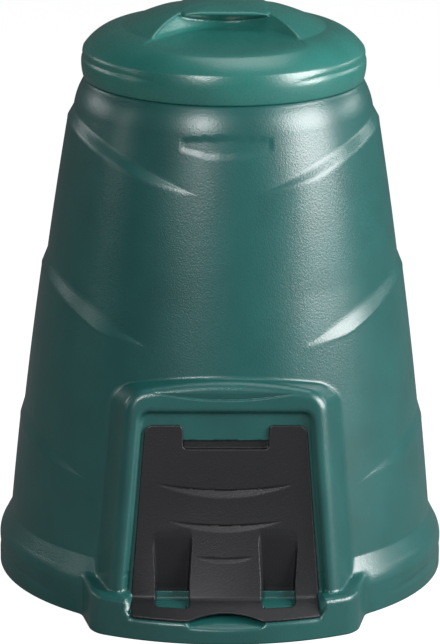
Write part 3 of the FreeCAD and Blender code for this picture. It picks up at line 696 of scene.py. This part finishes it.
# the hatch, in millimetres: heights go up the leaning panel, and the face stands before it
hatchSizes = {
    "face": 4.0,
    "wall": 3.4,
    # half width and height at the foot and at the top
    "half": (142, 51.5, 122.5, 308),
    "earHalf": 116,
    "top": 317.5,
    "tongueHalf": 64.5,
    "tongueTop": 306,
    "notchFoot": 281,
    "setBack": 5.0,
    # heights between which the plate bows forward, and how far
    "bow": (220, 58, 20),
    "channelMiddle": 80,
    "channelHalf": 25,
    "channelSpread": 0.06,
    # heights of the channel's foot, of its ramp's foot and top, and how far the ramp's top stands out
    "channel": (51.2, 67, 152, 6.5),
    "windowReach": 385,
    "archHalf": 56,
    "archTip": 390.5,
    # the slot behind the face in which the sill and the panel's top edge stand: its front and its back
    "slot": (0.6, -4.7),
    # half width, height of the tips, of the upper and of the lower arc, and depth
    "crescents": [(110, 230, 219, 206, 3.2), (90, 173, 165, 154, 3.2), (46, 117, 115.5, 108, 2.8)],
    "step": 1.7,
}


def hatchFace(x, up):
    # how far the plate's face stands out, with its lower part bowed forward and the crescents scooped out
    start, foot, depth = hatchSizes["bow"]
    share = np.clip((start - up) / (start - foot), 0, 1.06)
    bow = depth * share * share * (1 - (x / 148) ** 2)
    face = hatchSizes["face"] + bow
    for sizes in hatchSizes["crescents"]:
        face = face - crescent(x, up, sizes)
    return face


def hatchOutline(x, y, up):
    # the edges seen from the front: leaning sides, upright sides, ears and tongue, and the flange's arch
    bevel = (np.abs(x) - hatchSizes["earHalf"]) * 0.82 + (up - hatchSizes["top"]) * 0.57
    ears = roundMax(roundMax(up - hatchSizes["top"], bevel, 6), hatchSizes["tongueHalf"] - np.abs(x), 8)
    top = np.minimum(ears, up - hatchSizes["tongueTop"])
    half, tip = hatchSizes["archHalf"], hatchSizes["archTip"]
    rise = math.sqrt(flange["outer"] ** 2 - half ** 2) - tip
    radius = (half ** 2 + rise ** 2) / (2 * rise)
    arch = np.hypot(x, y + tip + radius) - radius
    return sideLine(x, up, hatchSizes["half"]), np.abs(x) - hatchSizes["half"][0], top, -arch


def hatchRule(x, front, up):
    wall = hatchSizes["wall"]
    y, z = leaningOf(x, front, up)[1:]
    r = np.hypot(x, y)
    plate = (front - hatchFace(x, up)) * 0.98
    shelf = (z - flangeLine(r)) * 0.88
    foot, rampFoot, rampTop, rampFace = hatchSizes["channel"]
    slope = (rampFace + hatchSizes["setBack"]) / (rampTop - rampFoot)
    floor = -hatchSizes["setBack"] + slope * np.maximum(up - rampFoot, 0)
    across = np.abs(np.abs(x) - hatchSizes["channelMiddle"]) - hatchSizes["channelHalf"]
    across = across - hatchSizes["channelSpread"] * np.clip(up - 75, 0, 90)
    channel = roundMax(floor - front, across, 4)
    channel = np.maximum(channel, up - rampTop - 6)
    notch = roundMax(np.abs(x) - hatchSizes["tongueHalf"], hatchSizes["notchFoot"] - up, 6)
    notch = roundMax(-hatchSizes["setBack"] - front, notch, 1)
    # the plate and the flange, less the channels, the notch and the windows over the sill
    plateEnd = np.maximum(plate, hatchSizes["half"][1] - up)
    outside = roundMin(plateEnd, np.maximum(shelf, r - flange["outer"]), 3)
    outside = roundMax(outside, -np.maximum(channel, foot - up), 2)
    outside = roundMax(outside, -notch, 1.5)
    window = roundMax(across, r - hatchSizes["windowReach"], 5)
    window = np.maximum(np.maximum(window, np.maximum(44 - z, 0.8 - front)), up - 75)
    outside = roundMax(outside, -window, 1)
    # the open inside, a wall's thickness behind the outside
    inside = np.minimum(plate, shelf) + wall
    inside = np.maximum(inside, -np.maximum(channel - wall, foot - up))
    inside = np.maximum(inside, -(notch - wall))
    form = roundMax(outside, -inside, 0.8)
    for edge in hatchOutline(x, y, up):
        form = roundMax(form, edge, 1.2)
    # the slots in which the sill and the panel's top edge stand
    slotted = np.maximum(front - hatchSizes["slot"][0], hatchSizes["slot"][1] - front)
    form = np.maximum(form, -np.maximum(slotted, up - 62.8))
    lintel = np.maximum(np.maximum(slotted, 281.3 - up), np.abs(x) - 84)
    return np.maximum(form, -lintel)


def buildHatch():
    points, faces = meshFromRule(hatchRule, (-143.9, -10, 25), (143.9, 62, 320), hatchSizes["step"])
    x, y, z = leaningOf(points[:, 0], points[:, 1], points[:, 2])
    points = np.stack([x, y - axisForward, z], 1)
    return addMesh("hatchMoulding", points, faces[:, ::-1].tolist())


hatch = buildHatch()
print("hatch:", len(hatch.data.polygons), "faces")


def linear(hexText):
    # a colour as it is seen on a screen, in the linear values that the nodes work with
    channels = [int(hexText[i:i + 2], 16) / 255 for i in (1, 3, 5)]
    return [c / 12.92 if c <= 0.04045 else ((c + 0.055) / 1.055) ** 2.4 for c in channels] + [1]


def node(tree, kind, settings=None, **links):
    # adds a node with its settings; its inputs get values, or links from other nodes' outputs
    made = tree.nodes.new(kind)
    for key, value in (settings or {}).items():
        setattr(made, key, value)
    for name, source in links.items():
        socket = made.inputs[int(name[1:])] if name[1:].isdigit() else made.inputs[name.replace("_", " ")]
        if isinstance(source, bpy.types.NodeSocket):
            tree.links.new(source, socket)
        else:
            socket.default_value = source
    return made


def mouldedPlastic(name, finish):
    # HDPE or PP from a grained steel mould. Fine round grains break up the highlights, a roughness that
    # wanders keeps their edges soft, and faint clouds where the melt cooled keep large walls from
    # looking flat
    material = bpy.data.materials.new(name)
    material.use_nodes = True
    tree = material.node_tree
    tree.nodes.clear()
    place = node(tree, "ShaderNodeTexCoord").outputs["Object"]
    grain = node(tree, "ShaderNodeTexVoronoi", {"feature": "SMOOTH_F1"}, Vector=place,
                 Scale=1000 / finish["grainMm"], Smoothness=0.6)
    fine = node(tree, "ShaderNodeTexNoise", Vector=place, Scale=1000 / finish["fineMm"], Detail=4.0)
    cloud = node(tree, "ShaderNodeTexNoise", Vector=place, Scale=1000 / finish["cloudMm"], Detail=3.0,
                 Roughness=0.55)
    shade = node(tree, "ShaderNodeMapRange", Value=cloud.outputs[0], From_Min=0.3, From_Max=0.7)
    colour = node(tree, "ShaderNodeMix", {"data_type": "RGBA"}, _0=shade.outputs[0],
                  _6=linear(finish["deep"]), _7=linear(finish["pale"]))
    pits = node(tree, "ShaderNodeMapRange", Value=grain.outputs[0], From_Min=0.0, From_Max=0.7,
                To_Min=0.0, To_Max=1.0)
    grime = node(tree, "ShaderNodeMapRange", Value=fine.outputs[0], From_Min=0.35, From_Max=0.75,
                 To_Min=finish["roughness"] - 0.05, To_Max=finish["roughness"] + 0.07)
    height = node(tree, "ShaderNodeMath", {"operation": "MULTIPLY_ADD"}, _0=fine.outputs[0], _1=0.45,
                  _2=pits.outputs[0])
    bump = node(tree, "ShaderNodeBump", Strength=finish["grainDepth"], Distance=0.0004,
                Height=height.outputs[0])
    shader = node(tree, "ShaderNodeBsdfPrincipled", Base_Color=colour.outputs[2],
                  Roughness=grime.outputs[0], IOR=1.54, Specular_IOR_Level=finish["shine"],
                  Normal=bump.outputs[0])
    node(tree, "ShaderNodeOutputMaterial", Surface=shader.outputs[0])
    return material


# green HDPE, moulded in one: deep green with broad satin highlights down the cone
bodyPlastic = mouldedPlastic("greenHdpeGrained", {
    "deep": "#17504d", "pale": "#1b5855", "grainMm": 2.6, "fineMm": 1.1, "cloudMm": 70, "roughness": 0.33,
    "grainDepth": 0.3, "shine": 0.75})
# the same HDPE in a newer tool: a little paler and shinier, so that the lid stands off the body
lidPlastic = mouldedPlastic("greenHdpeLid", {
    "deep": "#236760", "pale": "#286f67", "grainMm": 2.4, "fineMm": 1.0, "cloudMm": 60, "roughness": 0.3,
    "grainDepth": 0.28, "shine": 0.8})
# charcoal polypropylene: near black and matt, so that only its crescents and its bow catch the light
hatchPlastic = mouldedPlastic("charcoalPolypropyleneMatt", {
    "deep": "#121317", "pale": "#16171b", "grainMm": 2.2, "fineMm": 0.9, "cloudMm": 50, "roughness": 0.46,
    "grainDepth": 0.4, "shine": 0.5})

for thing, bodyName, nodeName, plastic, slotName in (
        (body, "bin_body", "bin_body", bodyPlastic, "body_green"),
        (lid, "lid", "lid", lidPlastic, "lid_green"),
        (hatch, "hatch", "hatch", hatchPlastic, "hatch_charcoal")):
    thing.data.materials.clear()
    thing.data.materials.append(plastic)
    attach(thing, bodyName)
    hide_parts(nodeName)
print("materials set")


studio = {
    "floor": "#6c6c6c",
    "floorGlow": 0.96,
    "floorGloss": 0.06,
    "backdropGloss": 0.08,
    "ambient": 0.035,
    "cameraDistance": 5.853,
    "cameraHeight": 2.075,
    "cameraDrop": math.radians(16.09),
    "cameraRoll": math.radians(0.48),
    "cameraTurn": math.radians(1.4),
    "cameraShift": -1.65 / 644,
    "lens": 216.6,
    # each softbox: where it stands, what it points at, its width and height, and its power
    "softboxes": {
        "keyRight": ((3.0, -1.35, 1.7), (0, 0, 0.75), (2.1, 2.0), 186),
        "stripLeft": ((-3.2, -0.5, 1.4), (0, 0, 0.7), (0.4, 1.6), 5),
        "frontLeft": ((-1.25, -3.75, 2.5), (0, 0, 0.8), (0.6, 1.6), 85),
        "overhead": ((0.4, 0.1, 3.2), (0, 0, 0.8), (1.6, 1.6), 18),
        "edgeRight": ((3.0, 1.3, 1.35), (0, 0, 0.6), (1.5, 0.5), 12),
        "edgeLeft": ((-3.0, 1.3, 1.35), (0, 0, 0.6), (1.5, 0.5), 8),
    },
}


def whiteWhereSeen(tree):
    # 1 for rays from the camera or through glass, which see white surroundings, and 1 for rays off gloss
    path = node(tree, "ShaderNodeLightPath")
    seen = node(tree, "ShaderNodeMath", {"operation": "MAXIMUM"}, _0=path.outputs["Is Camera Ray"],
                _1=path.outputs["Is Transmission Ray"])
    return seen.outputs[0], path.outputs["Is Glossy Ray"]


def floorPaper():
    # white studio paper: it glows white where it is seen, and keeps a soft shadow of the object
    material = bpy.data.materials.new("whitePaper")
    material.use_nodes = True
    tree = material.node_tree
    tree.nodes.clear()
    seen, glossy = whiteWhereSeen(tree)
    shine = node(tree, "ShaderNodeMath", {"operation": "MULTIPLY"}, _0=glossy, _1=studio["floorGloss"])
    seen = node(tree, "ShaderNodeMath", {"operation": "MAXIMUM"}, _0=seen, _1=shine.outputs[0])
    glow = node(tree, "ShaderNodeMath", {"operation": "MULTIPLY"}, _0=seen.outputs[0],
                _1=studio["floorGlow"])
    matt = node(tree, "ShaderNodeBsdfPrincipled", Base_Color=linear(studio["floor"]), Roughness=0.9,
                Emission_Color=[1, 1, 1, 1], Emission_Strength=glow.outputs[0])
    node(tree, "ShaderNodeOutputMaterial", Surface=matt.outputs[0])
    return material


def setWorld():
    # dim studio all round; white where it is seen, and gloss shows the white backdrop behind the bin
    world = bpy.data.worlds.new("studio")
    bpy.context.scene.world = world
    world.use_nodes = True
    tree = world.node_tree
    tree.nodes.clear()
    seen, glossy = whiteWhereSeen(tree)
    around = node(tree, "ShaderNodeTexCoord").outputs["Generated"]
    direction = node(tree, "ShaderNodeSeparateXYZ", Vector=around)
    behind = node(tree, "ShaderNodeMapRange", Value=direction.outputs["Y"], From_Min=0.25, From_Max=0.6)
    backdrop = node(tree, "ShaderNodeMath", {"operation": "MULTIPLY"}, _0=glossy, _1=behind.outputs[0])
    backdrop = node(tree, "ShaderNodeMath", {"operation": "MULTIPLY"}, _0=backdrop.outputs[0],
                    _1=studio["backdropGloss"])
    white = node(tree, "ShaderNodeMath", {"operation": "MAXIMUM"}, _0=seen, _1=backdrop.outputs[0])
    strength = node(tree, "ShaderNodeMapRange", Value=white.outputs[0], To_Min=studio["ambient"],
                    To_Max=1.0)
    background = node(tree, "ShaderNodeBackground", Color=[1, 1, 1, 1], Strength=strength.outputs[0])
    node(tree, "ShaderNodeOutputWorld", Surface=background.outputs[0])


def addSoftbox(name, place, target, size, power):
    light = bpy.data.lights.new(name, "AREA")
    light.shape = "RECTANGLE"
    light.size, light.size_y = size
    light.energy = power
    lamp = bpy.data.objects.new(name, light)
    lamp.location = place
    lamp.rotation_euler = (Vector(target) - Vector(place)).to_track_quat("-Z", "Y").to_euler()
    bpy.context.scene.collection.objects.link(lamp)


def addFloor():
    mesh = bpy.data.meshes.new("floor")
    mesh.from_pydata([(-6, -6, 0), (6, -6, 0), (6, 6, 0), (-6, 6, 0)], [], [(0, 1, 2, 3)])
    floor = bpy.data.objects.new("floor", mesh)
    bpy.context.scene.collection.objects.link(floor)
    mesh.materials.append(floorPaper())


def addCamera():
    data = bpy.data.cameras.new("camera")
    data.lens = studio["lens"]
    data.sensor_width = 36
    data.sensor_fit = "AUTO"
    turn = studio["cameraTurn"]
    away = studio["cameraDistance"]
    forward = axisForward * -0.001
    camera = bpy.data.objects.new("camera", data)
    camera.location = (-away * math.sin(turn), forward - away * math.cos(turn), studio["cameraHeight"])
    camera.rotation_mode = "XYZ"
    look = Euler((math.pi / 2 - studio["cameraDrop"], 0, -turn), "XYZ").to_matrix()
    roll = Euler((0, 0, studio["cameraRoll"]), "XYZ").to_matrix()
    camera.rotation_euler = (look @ roll).to_euler("XYZ")
    data.shift_x = studio["cameraShift"]
    bpy.context.scene.collection.objects.link(camera)
    bpy.context.scene.camera = camera


setWorld()
addFloor()
addCamera()
for name, (place, target, size, power) in studio["softboxes"].items():
    addSoftbox(name, place, target, size, power)
bpy.context.scene.view_settings.view_transform = "Standard"
print("studio set")
